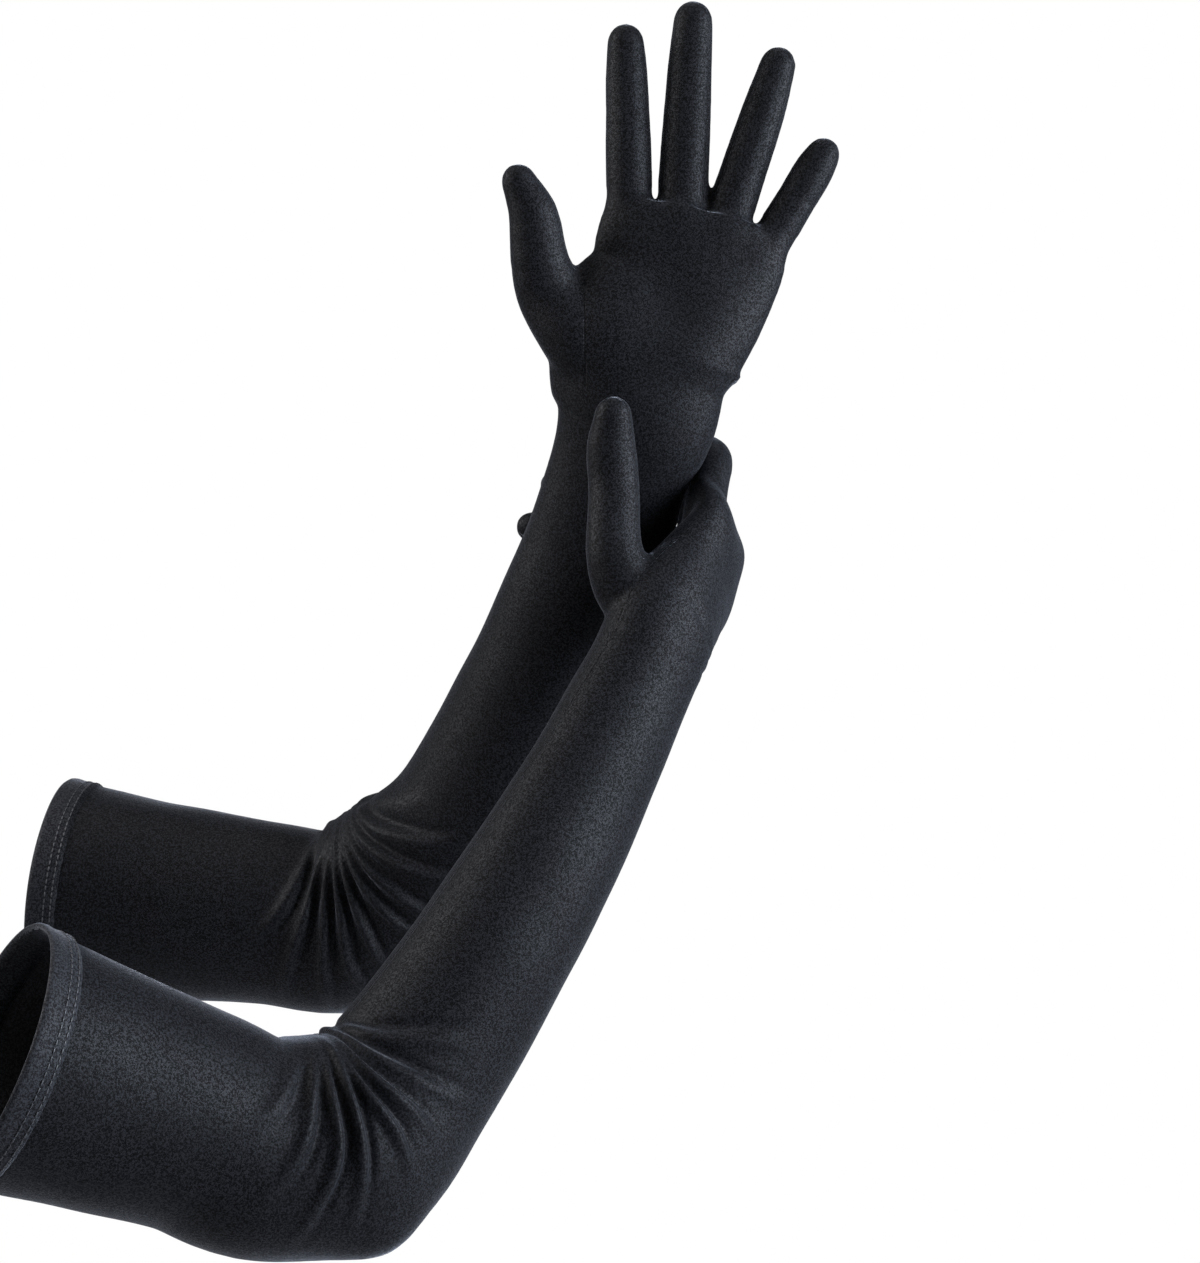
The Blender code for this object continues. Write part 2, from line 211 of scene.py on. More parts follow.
FINGERS = ("index", "middle", "ring", "little")
HALF_DEPTH = 0.0070                              # of a finger lying on the held wrist
GRIP_OUT = WRIST_A + 0.0022 + HALF_DEPTH
KNUCKLE_HEIGHTS = (0.0745, 0.0560, 0.0380, 0.0215)
right_knuckle = {f: held_wrist(z) + Vector((GRIP_OUT, 0.0100, 0))
                 for f, z in zip(FINGERS, KNUCKLE_HEIGHTS)}
grip_centre = (right_knuckle["middle"] + right_knuckle["ring"]) / 2
toward = (grip_centre - RIGHT_WRIST).normalized()
right_palm = [
    (mix(RIGHT_WRIST, grip_centre, 0.30) + RIGHT_BACK * 0.0030,
     mix(RIGHT_WRIST_BACK, RIGHT_BACK, 0.6), WRIST_A * 0.93, WRIST_B * 0.86),
    (mix(RIGHT_WRIST, grip_centre, 0.58) + RIGHT_BACK * 0.0050, RIGHT_BACK, PALM_A * 0.86,
     PALM_B * 0.92),
    (mix(RIGHT_WRIST, grip_centre, 0.86) + RIGHT_BACK * 0.0020, RIGHT_BACK, PALM_A * 0.84,
     PALM_B * 0.70),
]
right_arm = nudged(arm_stations(RIGHT_ELBOW, RIGHT_WRIST, RIGHT_UPPER, RIGHT_ARM, UPPER_RIGHT,
                                Vector((0, -1, 0)), RIGHT_WRIST_BACK,
                                (CUFF * 0.95, UPPER * 0.95, ELBOW * 0.95, FORE * 0.84,
                                 WRIST_A * 0.84)),
                   {2: (0, 0.0005, 0.985), 3: (0.003, -0.002, 0.985), 4: (0.0065, -0.007, 0.97),
                    5: (-0.0010, -0.003, 0.945), 6: (0.0050, 0, 0.99), 7: (0.0050, 0, 1.0),
                    8: (0.0012, 0, 1.0), 9: (-0.0014, 0, 1.0)})
right_line = Line(right_arm + nudged(right_palm, {0: (0.0035, 0.001, 1.0), 1: (0.0070, 0, 1.0),
                                                  2: (0.004, 0, 1.0)}), ARM_RINGS)
print("sleeve along the arm, hem to wrist:",
      round(left_line.arc[left_line.at_t(WRIST_AT)], 3), "m")

# %% [markdown]
# ## Fingers and thumbs
# Each finger is a short tube of its own that starts inside the palm and ends in a round tip. The
# open hand's fingers are straight. The other hand's fingers go round the wrist it holds, so their
# stations stand on an ellipse just outside that wrist, which keeps the cloths apart.
# %% Finger lines
R = 0.0093
GIRTH = {"index": 1.0, "middle": 1.06, "ring": 1.0, "little": 0.90}
LENGTH = {"index": 0.0671, "middle": 0.0790, "ring": 0.0682, "little": 0.0418}
LEAN = {"index": (-0.022, 1.0), "middle": (0.058, 1.0), "ring": (0.325, 1.0), "little": (0.60, 1.0)}
ROOT = {"index": (0.7858, 0.0045), "middle": (0.2200, 0.0072), "ring": (-0.3150, 0.0072),
        "little": (-0.8480, 0.0026)}


def finger_line(base, mid, far, tip, depth, r):
    start = base + (base - mid).normalized() * 0.012
    return Line([(start, depth, r * 1.00, r * 0.98), (base, depth, r * 1.06, r * 1.02),
                 (mid, depth, r * 1.00, r * 0.97), (far, depth, r * 0.97, r * 0.91),
                 (tip, depth, r * 0.84, r * 0.80)], FINGER_RINGS)


lines = {"left": {"arm": left_line}, "right": {"arm": right_line}}
end = len(left_line.t) - 1
for f in FINGERS:
    across, lift = ROOT[f]
    base = Vector(left_line.c[end] + left_line.side[end] * left_line.a[end] * across
                  + left_line.along[end] * lift)
    d = unit(LEAN[f][0], -0.03, LEAN[f][1])
    r, ln = R * GIRTH[f], LENGTH[f]
    lines["left"][f] = finger_line(base, base + d * ln * 0.37, base + d * ln * 0.66,
                                   base + d * (ln - r * 0.8), BACK, r)
thumb = [((-0.0356, -0.0085, 0.0518), 0.0145, 0.0125), ((-0.0400, -0.0140, 0.0655), 0.0122, 0.0108),
         ((-0.0424, -0.0180, 0.0825), 0.0104, 0.0092), ((-0.0480, -0.0205, 0.0955), 0.0074, 0.0066)]
depth = unit(-0.30, 0.92, 0.1)
lines["left"]["thumb"] = Line(
    [(w + Vector((-0.0180, -0.0060, 0.0180)), depth, 0.0120, 0.0125),
     (w + Vector((-0.0265, -0.0072, 0.0360)), depth, 0.0150, 0.0138)]
    + [(w + Vector(p), depth, a, b) for p, a, b in thumb], FINGER_RINGS)
WEB_LIFT = Vector((-0.0035, 0, 0.0060))
REACH = {"index": 0.80, "middle": 0.90, "ring": 0.98, "little": 0.60}
HELD_A, HELD_B, CLEAR = WRIST_A, WRIST_B * 1.10, 0.0012
for f in FINGERS:
    z = (right_knuckle[f] - HOME).z
    r = R * GIRTH[f] * 0.94
    reach = REACH[f]
    middle = held_wrist(z)

    def round_wrist(degrees, extra=0.0, up=0.0):
        g = math.radians(degrees)
        return middle + Vector(((HELD_A + CLEAR + HALF_DEPTH + extra) * math.cos(g),
                                (HELD_B + CLEAR + HALF_DEPTH + extra) * math.sin(g), up))

    knuckle = round_wrist(24, 0.0015)
    corner = round_wrist(66, 0.0012, 0.0035)
    run = unit(-1.0, 0.02, 0.10)
    inside = mix(RIGHT_WRIST, knuckle, 0.45) + RIGHT_BACK * 0.007
    half = mix(inside, knuckle, 0.55) + RIGHT_BACK * 0.0048
    if f == "index":
        inside, half = inside + WEB_LIFT * 0.6, half + WEB_LIFT
    lines["right"][f] = Line(
        [(inside, RIGHT_BACK, r * 0.90, 0.0085), (half, RIGHT_BACK, r * 0.98, 0.0085),
         (knuckle, unit(0.95, 0.3, 0), r * 0.92, 0.0082),
         (corner, unit(0.45, 0.9, 0), r * 0.89, 0.0075),
         (corner + run * 0.024 * reach + Vector((0, 0.0012, 0)), unit(0.1, 1, 0), r * 0.89, 0.0072),
         (corner + run * 0.040 * reach, BACK, r * 0.78, 0.0064)], HELD_RINGS)
thumb = [((0.0060, -0.0360, 0.0320), 0.0118, 0.0102), ((0.0058, -0.0300, 0.0570), 0.0106, 0.0092),
         ((0.0046, -0.0305, 0.0740), 0.0102, 0.0088), ((0.0054, -0.0335, 0.0870), 0.0080, 0.0072)]
depth = unit(0.15, -0.98, 0.0)
lines["right"]["thumb"] = Line(
    [(place(0.0235, -0.0330, 0.0040), depth, 0.0135, 0.0135),
     (place(0.0125, -0.0350, 0.0160), depth, 0.0140, 0.0125)]
    + [(place(*p), depth, a, b) for p, a, b in thumb], FINGER_RINGS)
print({s: sorted(v) for s, v in lines.items()})

# %% [markdown]
# ## From tubes to one skin
# A circle is extruded ring by ring along each line, so the tubes are all made the same way. The
# tubes overlap at the knuckles and at the ball of the thumb. A voxel remesh turns them into one
# closed skin with even faces, and a few rounds of smoothing melt the joins the way stretched
# cloth bridges them. A Boolean union would keep every crease, which cloth over a hand doesn't.
# %% Extrude a closed tube along a line
VOXEL = 0.0013
SEGMENTS = 48
TIP_ANGLES = (24, 46, 64, 78)
SMOOTHING_ROUNDS = 5


def add_object(name, data):
    obj = bpy.data.objects.new(name, data)
    bpy.context.scene.collection.objects.link(obj)
    return obj


def mesh_from(bm, name):
    mesh = bpy.data.meshes.new(name)
    bm.to_mesh(mesh)
    bm.free()
    return mesh


def extruded_rings(bm, steps, segments, cap):
    """Extrudes a unit circle from one matrix to the next; returns the first and last rings."""
    made = bmesh.ops.create_circle(bm, cap_ends=cap, segments=segments, radius=1,
                                   matrix=steps[0])["verts"]
    first = ring = list(dict.fromkeys(e for v in made for e in v.link_edges))
    for before, after in zip(steps, steps[1:]):
        new = bmesh.ops.extrude_edge_only(bm, edges=ring)["geom"]
        verts = [g for g in new if isinstance(g, bmesh.types.BMVert)]
        ring = [g for g in new if isinstance(g, bmesh.types.BMEdge)
                and all(v in verts for v in g.verts)]
        bmesh.ops.transform(bm, matrix=after @ before.inverted(), verts=verts)
    return first, ring


def add_tube(bm, line, every, round_end):
    ks = list(range(0, len(line.t), every))
    if ks[-1] != len(line.t) - 1:
        ks.append(len(line.t) - 1)
    last = ks[-1]
    steps = [line.ring_matrix(k) for k in ks]
    if round_end:
        r = line.a[last]
        for angle in TIP_ANGLES:
            g = math.radians(angle)
            steps.append(line.ring_matrix(last, math.cos(g), r * 1.05 * math.sin(g)))
    ring = extruded_rings(bm, steps, SEGMENTS, True)[1]
    bmesh.ops.holes_fill(bm, edges=ring, sides=0)


def remeshed(bm, name):
    """The bmesh as one even skin of quads."""
    obj = add_object(name, mesh_from(bm, name))
    mod = obj.modifiers.new("even", "REMESH")
    mod.mode, mod.voxel_size = "VOXEL", VOXEL
    graph = bpy.context.evaluated_depsgraph_get()
    out = bpy.data.meshes.new_from_object(obj.evaluated_get(graph))
    bpy.data.objects.remove(obj)
    return out


def raw_skin(side):
    bm = bmesh.new()
    for name, line in lines[side].items():
        add_tube(bm, line, 3 if name == "arm" else 2, name != "arm")
    bmesh.ops.recalc_face_normals(bm, faces=bm.faces)
    return remeshed(bm, f"{side}_raw")


def smoothed(mesh, rounds, chosen=None):
    """Smooths every point, or only the chosen ones."""
    bm = bmesh.new()
    bm.from_mesh(mesh)
    bm.verts.ensure_lookup_table()
    verts = bm.verts[:] if chosen is None else [bm.verts[i] for i in chosen]
    for _ in range(rounds):
        bmesh.ops.smooth_vert(bm, verts=verts, factor=0.5, use_axis_x=True, use_axis_y=True,
                              use_axis_z=True)
    bm.to_mesh(mesh)
    bm.free()
    return mesh


skins = {}
for side in lines:
    skins[side] = smoothed(raw_skin(side), SMOOTHING_ROUNDS)
    print(side, "skin faces:", len(skins[side].polygons))

# %% [markdown]
# ## Folds
# Cloth has to go somewhere when an elbow bends. It gathers in the crook into a fan of folds that
# spread from one point and die out toward the elbow's tip. The wrist and the finger joints make
# the same kind of crease on a smaller scale. The folds are pushed into the skin point by point,
# with a formula for each fan, because a simulation would need the arm inside and far more time.
# %% Read and write a skin's points
def points_of(mesh):
    co = np.empty(len(mesh.vertices) * 3, np.float32)
    mesh.vertices.foreach_get("co", co)
    return co.reshape(-1, 3).astype(float)


def normals_of(mesh):
    no = np.empty(len(mesh.vertices) * 3, np.float32)
    mesh.vertices.foreach_get("normal", no)
    return no.reshape(-1, 3).astype(float)


def push(mesh, height):
    """Moves each point along its normal by its own height."""
    co = points_of(mesh) + normals_of(mesh) * height[:, None]
    mesh.vertices.foreach_set("co", co.astype(np.float32).ravel())
    mesh.update()


def bump(x, middle, width):
    return np.exp(-((x - middle) / width) ** 2)


def soft_step(x, lo, hi):
    t = np.clip((x - lo) / (hi - lo), 0, 1)
    return t * t * (3 - 2 * t)


# %% A fan of folds from the crook of an elbow
def fan(points, centre, middle_way, across_way, folds, seed):
    """folds: (angle in degrees, half width in metres, reach in metres, height in metres)."""
    rel = points - centre
    x, y = rel @ middle_way, rel @ across_way
    reach = np.hypot(x + 0.010, y)
    angle = np.degrees(np.arctan2(y, x + 0.010))
    wander = 3.2 * np.sin(reach * 80 + seed) + 1.6 * np.sin(reach * 150 + 2 * seed)
    height = np.zeros(len(points))
    for k, (at, half, far, tall) in enumerate(folds):
        along = soft_step(reach, 0.004, 0.014) * (1 - soft_step(reach, far * 0.50, far))
        width = half * (0.75 + 0.6 * reach / far)
        bow = 6.0 * (reach / far) ** 2 * (1 if at > 0 else -1)
        sway = wander * (0.4 + 0.3 * math.sin(k * 2.3 + seed))
        away = np.radians(angle - at - bow - sway) * reach / width
        ridge = np.exp(-(away * np.where(away > 0, 0.8, 1.25)) ** 2)
        height += tall * along * (ridge - 0.85 * np.exp(-((away - 1.35) / 0.62) ** 2))
    return height


def elbow_folds(side, mesh, front, rear, seed):
    line = lines[side]["arm"]
    k = line.at_t(ELBOW_AT)
    upper = LEFT_UPPER if side == "left" else RIGHT_UPPER
    fore = LEFT_ARM if side == "left" else RIGHT_ARM
    crook = np.array((upper + fore).normalized())
    crook = crook - line.along[k] * (crook @ line.along[k])
    crook /= np.linalg.norm(crook)
    centre = line.c[k] + crook * line.a[k] * 0.93
    middle_way = -crook
    across_way = line.along[k]
    points = points_of(mesh)
    out = np.cross(middle_way, across_way)
    lean = (points - line.c[k]) @ out
    lean = lean if out[1] < 0 else -lean          # positive on the side toward the viewer
    near = np.linalg.norm(points - line.c[k], axis=1) < 0.13
    arm_only = line.locate(points)[0] < line.at_t(7.5)
    height = sum(fan(points, centre, middle_way, across_way, folds, start)
                 * soft_step(facing, -0.008, 0.010)
                 for folds, start, facing in ((front, seed, lean), (rear, seed + 5, -lean)))
    push(mesh, height * near * arm_only)


LEFT_FAN = [(-64, 0.0030, 0.066, 0.0020), (-49, 0.0028, 0.084, 0.0026),
            (-35, 0.0026, 0.090, 0.0029), (-22, 0.0025, 0.088, 0.0030),
            (-10, 0.0024, 0.080, 0.0030), (3, 0.0025, 0.076, 0.0029), (17, 0.0027, 0.080, 0.0028),
            (33, 0.0030, 0.078, 0.0026), (50, 0.0034, 0.070, 0.0023), (68, 0.0036, 0.056, 0.0018)]
RIGHT_FAN = [(-62, 0.0034, 0.056, 0.0017), (-42, 0.0030, 0.076, 0.0024),
             (-26, 0.0027, 0.084, 0.0030), (-12, 0.0026, 0.080, 0.0032),
             (1, 0.0025, 0.070, 0.0030), (15, 0.0028, 0.066, 0.0028),
             (32, 0.0032, 0.068, 0.0024), (52, 0.0038, 0.062, 0.0019)]
REAR_FAN = [(-50, 0.0034, 0.060, 0.0020), (-27, 0.0030, 0.074, 0.0027), (-6, 0.0028, 0.072, 0.0029),
            (14, 0.0030, 0.068, 0.0026), (38, 0.0036, 0.060, 0.0020)]
elbow_folds("left", skins["left"], LEFT_FAN, REAR_FAN, 1.0)
elbow_folds("right", skins["right"], RIGHT_FAN, REAR_FAN, 4.0)


# %% Wrist creases, finger creases and the unevenness of cloth over skin
def angle_off(u, v, degrees):
    """How far round the tube a place is from an angle."""
    turn = np.degrees(np.arctan2(v, u)) - degrees
    return (turn + 180) % 360 - 180


def wrist_creases(side, mesh, creases):
    """creases: (distance past the wrist, angle round it, half angle, tilt, depth)."""
    line = lines[side]["arm"]
    k, u, v = line.locate(points_of(mesh))
    arc = line.arc[k] - line.arc[line.at_t(WRIST_AT)]
    height = np.zeros(len(k))
    for at, ang, half, tilt, tall in creases:
        off = angle_off(u, v, ang)
        d = arc - at - tilt * off / 90
        lips = bump(d, 0.0030, 0.0026) + 0.7 * bump(d, -0.0030, 0.0026)
        height += tall * bump(off, 0, half) * (lips - 1.25 * bump(d, 0, 0.0018))
    push(mesh, height * (np.hypot(u, v) < 1.5))


wrist_creases("left", skins["left"],
              [(0.002, -35, 26, 0.012, 0.00035), (0.006, 90, 60, 0.004, 0.0003),
               (-0.010, 60, 40, 0.008, 0.0003)])
wrist_creases("right", skins["right"],
              [(0.001, 90, 50, 0.006, 0.0004), (-0.012, 60, 50, -0.006, 0.0003),
               (0.012, 20, 46, 0.008, 0.0004), (0.000, -90, 60, 0.0, 0.0003)])


def finger_creases(side, mesh):
    points = points_of(mesh)
    height = np.zeros(len(points))
    for name, line in lines[side].items():
        if name == "arm":
            continue
        k, u, v = line.locate(points)
        on = (np.hypot(u, v) < 1.25) & (k > 8)
        palm, back = soft_step(-v, -0.2, 0.6), soft_step(v, -0.2, 0.6)
        joint = joint_at(name)
        for t, tall in ((joint, 0.00018), (joint + 1.0, 0.00012)):
            arc = line.arc[k] - line.arc[line.at_t(t)]
            height += on * palm * tall * (0.8 * bump(arc, 0.0040, 0.0030)
                                          + 0.8 * bump(arc, -0.0040, 0.0030) - bump(arc, 0, 0.0016))
            height += on * back * tall * (1.2 * bump(arc, 0, 0.0060) - 0.6 * bump(arc, 0, 0.0015))
    push(mesh, height)


def joint_at(name):
    """The station of the middle joint."""
    return 2.9 if name == "thumb" else 2.0


def all_of(side):
    return [n for n in lines[side] if n != "arm"]


def unevenness(mesh, size, tall, seed):
    points = points_of(mesh)
    height = np.array([smooth_noise.noise(Vector(p) / size + Vector((seed, 0, 0)))
                       for p in points])
    push(mesh, height * tall)


for side, seed in (("left", 3.1), ("right", 8.7)):
    finger_creases(side, skins[side])
    unevenness(skins[side], 0.030, 0.0006, seed)
    print(side, "folded")

# %% The ball of the thumb, the heel of the hand and the hollow of the palm
def mounds(mesh, pads):
    """pads: (place, radius, height) pushed out on the palm side only."""
    points, normals = points_of(mesh), normals_of(mesh)
    height = np.zeros(len(points))
    for at, radius, tall in pads:
        rel = points - np.array(at)
        d = np.hypot(rel[:, 0], rel[:, 2])
        height += tall * np.exp(-(d / radius) ** 2) * soft_step(-normals[:, 1], 0.0, 0.6)
    push(mesh, height)


def knob(mesh, at, radius, tall):
    """A round swelling in the skin about a place."""
    away = np.linalg.norm(points_of(mesh) - np.array(at), axis=1)
    push(mesh, tall * np.exp(-(away / radius) ** 2))


knob(skins["right"], place(-0.079, -0.120, -0.228), 0.017, 0.0055)
knob(skins["right"], place(0.0600, 0.008, 0.0330), 0.011, 0.0040)
mounds(skins["left"], [
    (place(-0.002, 0, 0.122), 0.020, 0.0035), (place(0.048, 0, 0.118), 0.017, 0.0022),
    (place(0.027, 0, 0.140), 0.016, -0.0022), (place(0.012, 0, 0.172), 0.009, 0.0010),
    (place(0.034, 0, 0.173), 0.009, 0.0011), (place(0.054, 0, 0.167), 0.009, 0.0011),
    (place(0.071, 0, 0.155), 0.008, 0.0010)])

# the cloth is smoothed once more where the open hand's fingers grow out of the palm
ROOT_REACH, ROOT_ROUNDS = 0.0125, 14
points = points_of(skins["left"])
near = np.zeros(len(points), bool)
for name in FINGERS:
    line = lines["left"][name]
    near |= np.linalg.norm(points - line.c[line.at_arc(0.004)], axis=1) < ROOT_REACH
smoothed(skins["left"], ROOT_ROUNDS, np.nonzero(near)[0])
print("eased", int(near.sum()), "points at the finger roots")

# %% [markdown]
# ## Cutting the skin where the joints need it
# A real glove is one skin, but each piece here may bend at one joint only, so the skin is cut
# into rings where nothing bends: half way down the forearm, at the root of each finger and
# between its joints. A flat bisect through the skin gives two edges that match exactly. The
# shading is stored before the cut and put back after it, so no line shows.
# %% Where each cut goes
CUT_SPREAD, SLEEVE_SPREAD = 1.45, 1.6
ROOT_PAST_KNUCKLE = {"left": 0.0055, "right": 0.0080}
THUMB_PAST_ROOT = {"left": 0.0120, "right": -0.001}
MID_SHARE = 0.62                                # of the way from the root cut to the joint


def cut_places(side):
    """name -> (ring centre, direction along the line, reach of the cut)."""
    cuts = {}
    arm = lines[side]["arm"]
    k = arm.at_t(SLEEVE_END_AT)
    cuts["forearm"] = (arm.c[k], arm.along[k], arm.a[k] * SLEEVE_SPREAD)
    for name in all_of(side):
        line = lines[side][name]
        root, bend = ZONES[side][name][:2]
        for label, arc in (("root", root), ("mid", bend)):
            k = line.at_arc(arc)
            cuts[f"{name}_{label}"] = (line.c[k], line.along[k], line.a[k] * CUT_SPREAD)
    return cuts


def hinge_arc(side, name, joint):
    line = lines[side][name]
    at = np.array(JOINTS[f"{side}_{name}_{joint}"]["pos_m"])
    return line.arc[int(np.argmin(((line.c - at) ** 2).sum(1)))]


ZONES = {"left": {}, "right": {}}               # arcs of root cut, middle cut, joint, bend's end
for side in ZONES:
    for name in all_of(side):
        past = THUMB_PAST_ROOT if name == "thumb" else ROOT_PAST_KNUCKLE
        root = hinge_arc(side, name, "root" if name == "thumb" else "knuckle") + past[side]
        joint = hinge_arc(side, name, "joint")
        mid = mix(root, joint, MID_SHARE)
        ZONES[side][name] = (root, mid, joint, joint + (joint - mid))
        print(side, name, [round(x * 1000, 1) for x in ZONES[side][name]])

# %% Marks for seams, kept on the skin as distances
FAR_OFF = 0.05
SIDE_SEAM = 180
FINGER_SEAMS, THUMB_SEAMS = (-35, 35, 145, -145), (40, -150)
EXTRA_SEAMS = {"left": [(-0.0065, -0.020, 0.1440), (-0.0062, -0.022, 0.125),
                        (-0.0060, -0.022, 0.1000)],
               "right": [(-0.0030, -0.047, 0.0005), (0.0058, -0.050, -0.0016),
                         (0.0135, -0.049, 0.0000), (0.0200, -0.047, 0.0030)]}


def seam_marks(side, mesh):
    """The distance of every point from its nearest seam, and its place along that seam."""
    points = points_of(mesh)
    best = np.full(len(points), FAR_OFF)
    along = np.zeros(len(points))

    def take(distance, run):
        closer = distance < best
        best[closer] = distance[closer]
        along[closer] = run[closer]

    for name, line in lines[side].items():
        k, u, v = line.locate(points)
        size = np.hypot(u * line.a[k], v * line.b[k])
        near = np.hypot(u, v) < 1.45
        if name == "arm":
            # one seam down the side of the arm, to the hem
            off = np.radians(abs(angle_off(u, v, SIDE_SEAM))) * size
            on = near & (line.t[k] < line.t[-1] - 0.8)
            take(np.where(on, off, FAR_OFF), line.arc[k])
            continue
        start = ZONES[side][name][0] - (0.006 if name == "thumb" else 0.0045)
        on = near & (line.arc[k] > start) & (line.arc[k] < line.arc[-1] + 0.2)
        for degrees in FINGER_SEAMS if name != "thumb" else THUMB_SEAMS:
            off = np.radians(abs(angle_off(u, v, degrees))) * size
            end = line.arc[-1] + 0.0015
            take(np.where(on & (line.arc[k] < end), off, FAR_OFF), line.arc[k])
    path = np.array([tuple(place(*at)) for at in EXTRA_SEAMS[side]])
    for start, stop in zip(path, path[1:]):
        seg = stop - start
        f = np.clip(((points - start) @ seg) / (seg @ seg), 0, 1)
        off = points - start - f[:, None] * seg
        d = np.linalg.norm(off, axis=1)
        take(np.where(d < 0.012, np.hypot(off[:, 0], off[:, 2]), FAR_OFF),
             f * np.linalg.norm(seg))
    for label, values in (("seam_distance", best), ("seam_run", along)):
        mesh.attributes.new(label, "FLOAT", "POINT").data.foreach_set(
            "value", values.astype(np.float32))


for side in skins:
    seam_marks(side, skins[side])
    print(side, "seams marked")

# %% Cut, and part the skin along the cuts
def probe_points(side):
    """piece name -> a place on its skin."""
    arm = lines[side]["arm"]

    def on_skin(line, k):
        return line.c[k] + line.depth[k] * line.b[k]

    probes = {"sleeve": on_skin(arm, arm.at_t(2.5)), "hand": on_skin(arm, arm.at_t(8.0))}
    for name in all_of(side):
        line = lines[side][name]
        root, mid = ZONES[side][name][:2]
        probes[f"{name}_root"] = on_skin(line, line.at_arc(mix(root, mid, 0.5)))
        probes[f"{name}_end"] = on_skin(line, line.at_arc(mix(mid, line.arc[-1], 0.5)))
    return probes


def face_islands(bm):
    islands, seen = [], set()
    for face in bm.faces:
        if face in seen:
            continue
        stack, island = [face], []
        seen.add(face)
        while stack:
            f = stack.pop()
            island.append(f)
            for e in f.edges:
                for g in e.link_faces:
                    if g not in seen:
                        seen.add(g)
                        stack.append(g)
        islands.append(island)
    return sorted(islands, key=len, reverse=True)


CUFF_TRIM, CUFF_REACH = 0.0006, 0.08           # the closed end cut off, and how wide to look
SMALLEST_PIECE = 100                           # faces; anything smaller joins its neighbour


def bisected(bm, faces, at, along):
    geom = list(dict.fromkeys(g for f in faces for g in (*f.verts, *f.edges))) + faces
    return bmesh.ops.bisect_plane(bm, geom=geom, plane_co=at, plane_no=along,
                                  dist=1e-7)["geom_cut"]


def part_skin(side, mesh):
    """Cuts the skin and numbers its faces by piece; returns the names in that order."""
    store = mesh.attributes.new("skin_normal", "FLOAT_VECTOR", "POINT")
    store.data.foreach_set("vector", normals_of(mesh).astype(np.float32).ravel())
    bm = bmesh.new()
    bm.from_mesh(mesh)
    number = bm.faces.layers.int.new("piece")
    for centre, along, reach in cut_places(side).values():
        c = Vector(centre)
        near = [f for f in bm.faces if (f.calc_center_median() - c).length < reach]
        done = bisected(bm, near, c, Vector(along))
        edges = [e for e in done if isinstance(e, bmesh.types.BMEdge)]
        inner = [e for e in edges
                 if ((e.verts[0].co + e.verts[1].co) / 2 - c).length < reach * 0.97]
        bmesh.ops.split_edges(bm, edges=inner)
    arm = lines[side]["arm"]
    c, along = Vector(arm.c[0]), Vector(arm.along[0])
    edge = c + along * CUFF_TRIM

    def past_edge(f):
        rel = f.calc_center_median() - edge
        return rel.dot(along) if rel.length < CUFF_REACH else 1.0

    bisected(bm, [f for f in bm.faces if abs(past_edge(f)) < 0.004], edge, along)
    bmesh.ops.delete(bm, geom=[f for f in bm.faces if past_edge(f) < 0], context="FACES")
    islands = face_islands(bm)
    probes = probe_points(side)
    free = [i for i in islands if len(i) > SMALLEST_PIECE]
    for k, (name, at) in enumerate(probes.items()):
        at = Vector(at)
        gap, chosen = min((min((f.calc_center_median() - at).length_squared for f in i), n)
                          for n, i in enumerate(free))
        for f in free[chosen]:
            f[number] = k + 1
        print(side, name, len(free[chosen]), "faces,", round(math.sqrt(gap) * 1000, 1), "mm off")
        free.pop(chosen)
    left_over = [i for i in islands if i[0][number] == 0]
    for island in left_over:
        mid = sum((f.calc_center_median() for f in island), Vector()) / len(island)
        print(side, "left over:", len(island), [round(x, 3) for x in mid])
        near = min((f for f in bm.faces if f[number]),
                   key=lambda f: (f.calc_center_median() - mid).length_squared)
        for f in island:
            f[number] = near[number]
    bm.to_mesh(mesh)
    bm.free()
    return list(probes)


piece_names = {side: part_skin(side, skins[side]) for side in skins}

# %% [markdown]
# ## Satin
# Stretch satin with a short nap is black, yet it never looks one black: the nap is dark seen
# straight on and shows a soft blue-grey sheen where the cloth turns away, with a grain of tiny
# sparks all over. The sheen is the shader's own. The grain is a node group, because the cloth,
# its inside, the hem and the thread all use it, each with its own values. The seam line is one
# too: it reads the distances stored on the skin, so it follows the cloth wherever that bends,
# and it paints shade into the colour along the seam's groove.
# %% Node helpers
def new_group(name, inputs, outputs):
    group = bpy.data.node_groups.new(name, "ShaderNodeTree")
    for label, value in inputs:
        socket = group.interface.new_socket(label, in_out="INPUT", socket_type="NodeSocketFloat")
        socket.default_value = value
    for label in outputs:
        group.interface.new_socket(label, in_out="OUTPUT", socket_type="NodeSocketFloat")
    return group, group.nodes.new("NodeGroupInput"), group.nodes.new("NodeGroupOutput")


def math_node(tree, kind, a, b=None, c=None, clamp=False):
    node = tree.nodes.new("ShaderNodeMath")
    node.operation, node.use_clamp = kind, clamp
    for k, value in enumerate((a, b, c)):
        if value is None:
            continue
        if hasattr(value, "is_linked"):
            tree.links.new(value, node.inputs[k])
        else:
            node.inputs[k].default_value = value
    return node.outputs[0]


def noise_node(tree, vector, scale, detail=2.0, rough=0.5):
    node = tree.nodes.new("ShaderNodeTexNoise")
    tree.links.new(vector, node.inputs["Vector"])
    if hasattr(scale, "is_linked"):
        tree.links.new(scale, node.inputs["Scale"])
    else:
        node.inputs["Scale"].default_value = scale
    node.inputs["Detail"].default_value = detail
    node.inputs["Roughness"].default_value = rough
    return node.outputs["Fac"]


